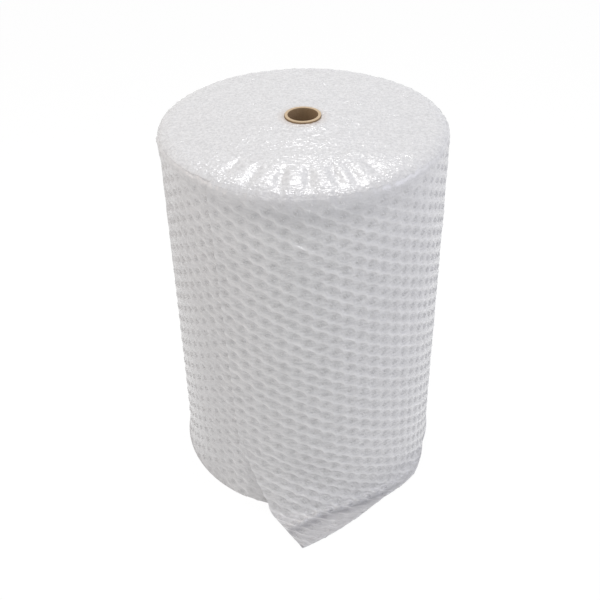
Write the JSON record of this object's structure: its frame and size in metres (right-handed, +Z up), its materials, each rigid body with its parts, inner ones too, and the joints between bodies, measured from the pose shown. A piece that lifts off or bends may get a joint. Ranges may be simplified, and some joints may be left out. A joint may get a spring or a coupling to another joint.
{
  "type": "bubble wrap roll",
  "caption": "Large roll of clear bubble film wound on a cardboard core, standing on end with the corner of its last turn loose on the floor.",
  "frame": {"origin": "on the axis of the core tube, at the floor that the roll stands on", "axes": "+Z up along the core, -Y towards the front with the loose corner, +X to its right"},
  "size_m": [0.7184, 0.8583, 1.02],
  "materials": {
    "core_board": "matte grey-brown tube board",
    "bubble_film": "clear polyethylene film, whitish in the mass, with glossy creases"
  },
  "bodies": {
    "root": {"core_tube": "core_board", "bubble_wrap": "bubble_film"}
  },
  "joints": []
}
